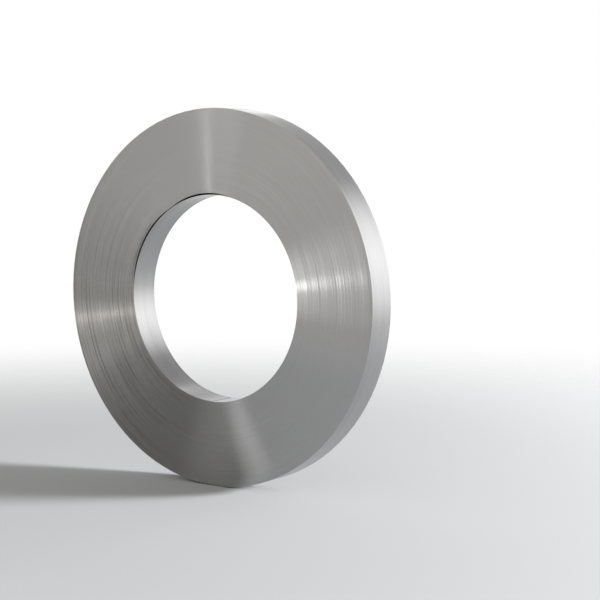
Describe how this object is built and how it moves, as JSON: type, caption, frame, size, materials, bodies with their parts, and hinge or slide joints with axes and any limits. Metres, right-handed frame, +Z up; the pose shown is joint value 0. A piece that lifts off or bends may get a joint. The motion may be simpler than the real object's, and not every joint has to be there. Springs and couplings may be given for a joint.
{
  "type": "slit steel strip coil",
  "caption": "Narrow coil of slit steel strip wound tight around an open round bore, standing on its rim, ready for a decoiler mandrel.",
  "frame": {"origin": "middle of the coil's lowest line, on the ground under the bore's centre", "axes": "+Y along the bore, +Z up, +X the way the coil would roll"},
  "size_m": [0.93, 0.0808, 0.93],
  "materials": {
    "bright_steel_strip": "bright cold-rolled strip, satin on its face, with fine slit edges that show as rings on the coil's ends"
  },
  "bodies": {
    "root": {"steel_coil": "bright_steel_strip"}
  },
  "joints": []
}
